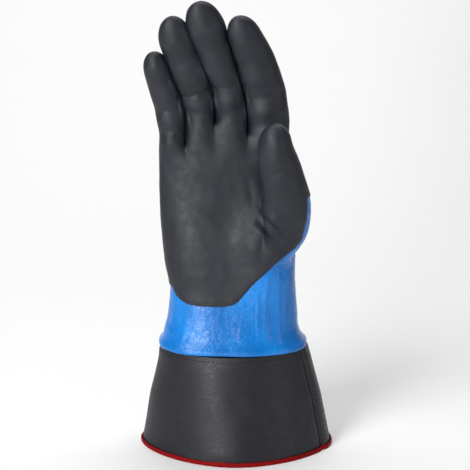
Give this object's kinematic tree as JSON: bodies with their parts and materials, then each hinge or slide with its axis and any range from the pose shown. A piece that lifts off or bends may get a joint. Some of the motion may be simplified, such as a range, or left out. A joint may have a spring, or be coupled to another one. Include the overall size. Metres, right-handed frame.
{
  "type": "insulated work glove",
  "caption": "Right-hand coated thermal work glove with jointed fingers and thumb, black palm dip over a blue wrist, and a flared sewn gauntlet cuff with a bound hem.",
  "frame": {"origin": "on the ground under the middle of the glove's bounding box, as it stands on its hem", "axes": "+Z from the hem up to the fingertips, +X to the thumb side, -Y the palm side"},
  "size_m": [0.1381, 0.1003, 0.3201],
  "materials": {
    "black_foam": "matte foamed nitrile dip, fine soft grain",
    "blue_coat": "glossy smooth nitrile dip with small crinkles",
    "knit": "brushed thermal knit",
    "cuff_canvas": "rubberised canvas, satin, fine horizontal ribs",
    "cuff_lining": "plain woven lining",
    "red_tape": "woven binding tape",
    "black_thread": "sewing thread",
    "red_thread": "sewing thread"
  },
  "bodies": {
    "gauntlet": {"cuff_shell": "cuff_canvas", "cuff_lining": "cuff_lining", "hem_binding": "red_tape", "attachment_stitching": "black_thread", "binding_stitching": "red_thread", "seam_stitching": "black_thread", "wrist_coat_blue": "blue_coat", "wrist_liner": "knit"},
    "hand": {"palm_coat_black": "black_foam", "palm_coat_blue": "blue_coat", "palm_liner": "knit"},
    "pinky_base": {"pinky_base_coat": "black_foam", "pinky_base_liner": "knit"},
    "pinky_middle": {"pinky_middle_coat": "black_foam", "pinky_middle_liner": "knit"},
    "pinky_tip": {"pinky_tip_coat": "black_foam", "pinky_tip_liner": "knit"},
    "ring_base": {"ring_base_coat": "black_foam", "ring_base_liner": "knit"},
    "ring_middle": {"ring_middle_coat": "black_foam", "ring_middle_liner": "knit"},
    "ring_tip": {"ring_tip_coat": "black_foam", "ring_tip_liner": "knit"},
    "middle_base": {"middle_base_coat": "black_foam", "middle_base_liner": "knit"},
    "middle_middle": {"middle_middle_coat": "black_foam", "middle_middle_liner": "knit"},
    "middle_tip": {"middle_tip_coat": "black_foam", "middle_tip_liner": "knit"},
    "index_base": {"index_base_coat": "black_foam", "index_base_liner": "knit"},
    "index_middle": {"index_middle_coat": "black_foam", "index_middle_liner": "knit"},
    "index_tip": {"index_tip_coat": "black_foam", "index_tip_liner": "knit"},
    "thumb_base": {"thumb_base_coat": "black_foam", "thumb_base_liner": "knit"},
    "thumb_tip": {"thumb_tip_coat": "black_foam", "thumb_tip_liner": "knit"}
  },
  "joints": [
    {"name": "wrist_bend", "type": "hinge", "parent": "gauntlet", "child": "hand", "pos_m": [-0.0006, 0.001, 0.1], "axis": [1, 0, 0], "range_deg": [-16, 22], "stiffness_Nm_per_rad": 1.5},
    {"name": "pinky_base_bend", "type": "hinge", "parent": "hand", "child": "pinky_base", "pos_m": [-0.0436, -0.0038, 0.22944], "axis": [0.997, 0, 0.0777], "range_deg": [-10, 58], "stiffness_Nm_per_rad": 0.05},
    {"name": "pinky_middle_bend", "type": "hinge", "parent": "pinky_base", "child": "pinky_middle", "pos_m": [-0.04578, -0.00555, 0.24642], "axis": [0.9784, 0, 0.2066], "range_deg": [0, 75], "stiffness_Nm_per_rad": 0.04},
    {"name": "pinky_tip_bend", "type": "hinge", "parent": "pinky_middle", "child": "pinky_tip", "pos_m": [-0.05104, -0.01084, 0.2649], "axis": [0.9654, 0, 0.2608], "range_deg": [0, 45]},
    {"name": "ring_base_bend", "type": "hinge", "parent": "hand", "child": "ring_base", "pos_m": [-0.02438, -0.00449, 0.24179], "axis": [0.9959, 0, 0.0909], "range_deg": [-10, 55], "stiffness_Nm_per_rad": 0.05},
    {"name": "ring_middle_bend", "type": "hinge", "parent": "ring_base", "child": "ring_middle", "pos_m": [-0.02676, -0.00723, 0.25762], "axis": [0.9646, 0, 0.2637], "range_deg": [0, 75], "stiffness_Nm_per_rad": 0.04},
    {"name": "ring_tip_bend", "type": "hinge", "parent": "ring_middle", "child": "ring_tip", "pos_m": [-0.03491, -0.01457, 0.28066], "axis": [0.9432, 0, 0.3321], "range_deg": [0, 45]},
    {"name": "middle_base_bend", "type": "hinge", "parent": "hand", "child": "middle_base", "pos_m": [-0.00287, -0.00479, 0.24168], "axis": [0.9949, 0, 0.101], "range_deg": [-10, 55], "stiffness_Nm_per_rad": 0.05},
    {"name": "middle_middle_bend", "type": "hinge", "parent": "middle_base", "child": "middle_middle", "pos_m": [-0.00606, -0.00858, 0.26259], "axis": [0.967, 0, 0.2546], "range_deg": [0, 75], "stiffness_Nm_per_rad": 0.04},
    {"name": "middle_tip_bend", "type": "hinge", "parent": "middle_middle", "child": "middle_tip", "pos_m": [-0.01551, -0.01675, 0.29009], "axis": [0.9527, 0, 0.3039], "range_deg": [0, 45]},
    {"name": "index_base_bend", "type": "hinge", "parent": "hand", "child": "index_base", "pos_m": [0.02222, -0.0052, 0.23529], "axis": [0.9968, 0, 0.0803], "range_deg": [-10, 50], "stiffness_Nm_per_rad": 0.05},
    {"name": "index_middle_bend", "type": "hinge", "parent": "index_base", "child": "index_middle", "pos_m": [0.01969, -0.00788, 0.25614], "axis": [0.977, 0, 0.2134], "range_deg": [0, 60], "stiffness_Nm_per_rad": 0.04},
    {"name": "index_tip_bend", "type": "hinge", "parent": "index_middle", "child": "index_tip", "pos_m": [0.01229, -0.01451, 0.28128], "axis": [0.954, 0, 0.2998], "range_deg": [0, 36]},
    {"name": "thumb_base_bend", "type": "hinge", "parent": "hand", "child": "thumb_base", "pos_m": [0.0339, -0.0275, 0.178], "axis": [-0.0188, 0.9542, 0.2987], "range_deg": [-35, 25], "stiffness_Nm_per_rad": 0.08},
    {"name": "thumb_tip_bend", "type": "hinge", "parent": "thumb_base", "child": "thumb_tip", "pos_m": [0.0289, -0.038, 0.2135], "axis": [-0.05, 0.9714, 0.2321], "range_deg": [-45, 10], "stiffness_Nm_per_rad": 0.05}
  ],
  "couplings": [
    {"joint": "pinky_tip_bend", "follows": "pinky_middle_bend", "ratio": 0.6},
    {"joint": "ring_tip_bend", "follows": "ring_middle_bend", "ratio": 0.6},
    {"joint": "middle_tip_bend", "follows": "middle_middle_bend", "ratio": 0.6},
    {"joint": "index_tip_bend", "follows": "index_middle_bend", "ratio": 0.6}
  ]
}
